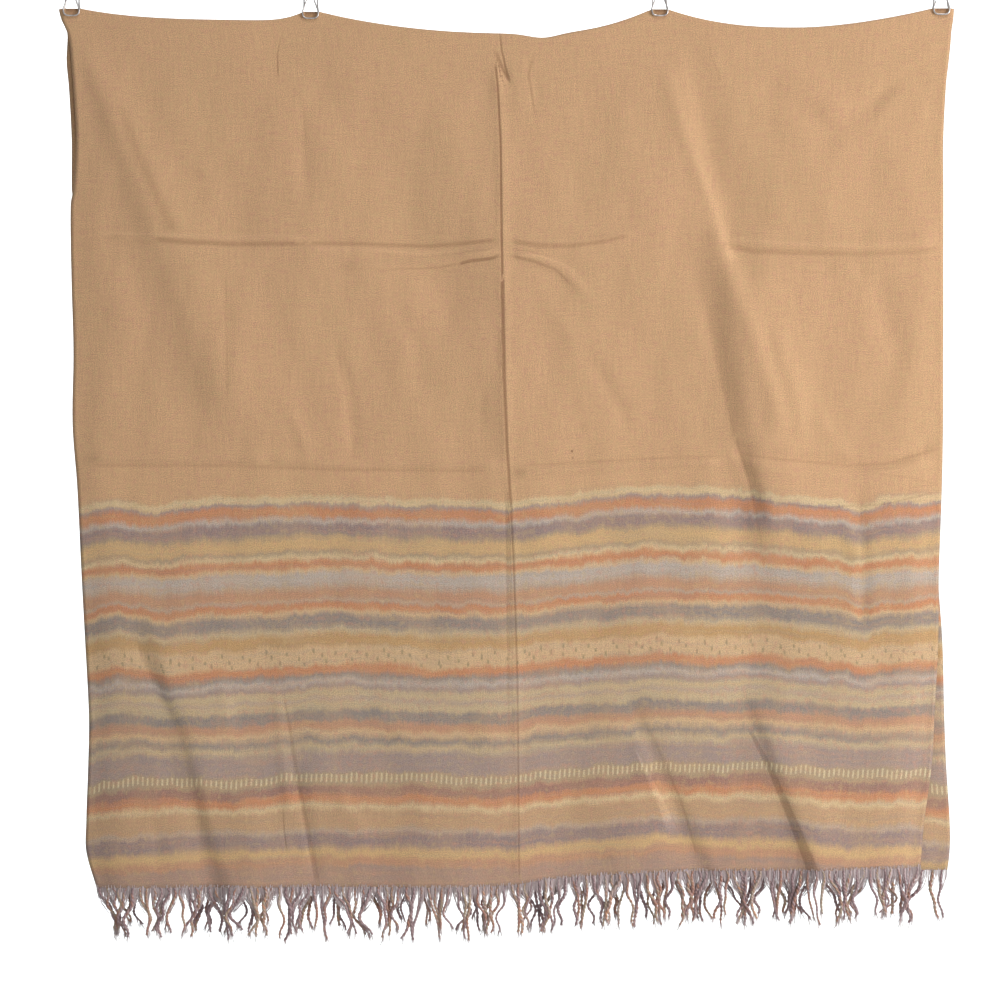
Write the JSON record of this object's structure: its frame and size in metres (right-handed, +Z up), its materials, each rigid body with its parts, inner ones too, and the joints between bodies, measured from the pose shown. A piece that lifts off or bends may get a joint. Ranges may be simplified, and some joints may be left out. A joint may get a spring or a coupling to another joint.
{
  "type": "fringed stole on wire clips",
  "caption": "Woven fringed stole folded in half over its top edge, plain above and blurred cross stripes below, hung from small wire clips along the fold.",
  "frame": {"origin": "in the plane of the fold, midway across the cloth and level with the top of the highest clip eye", "axes": "+Z up, +X to the right as the front is seen, -Y out of the front layer"},
  "size_m": [0.9668, 0.0289, 1.0456],
  "materials": {
    "cloth": "matte fine weave, sand tan with blurred cross stripes near both ends",
    "fringe": "matte loose yarn in grey plum, brown and rust",
    "clip_wire": "smooth drawn steel wire"
  },
  "bodies": {
    "root": {"front_fall": "cloth", "top_fold": "cloth", "back_fall": "cloth", "front_fringe": "fringe", "back_fringe": "fringe", "clip_1_front_jaw": "clip_wire", "clip_1_back_jaw": "clip_wire", "clip_1_spring": "clip_wire", "clip_2_front_jaw": "clip_wire", "clip_2_back_jaw": "clip_wire", "clip_2_spring": "clip_wire", "clip_3_front_jaw": "clip_wire", "clip_3_back_jaw": "clip_wire", "clip_3_spring": "clip_wire", "clip_4_front_jaw": "clip_wire", "clip_4_back_jaw": "clip_wire", "clip_4_spring": "clip_wire"}
  },
  "joints": []
}
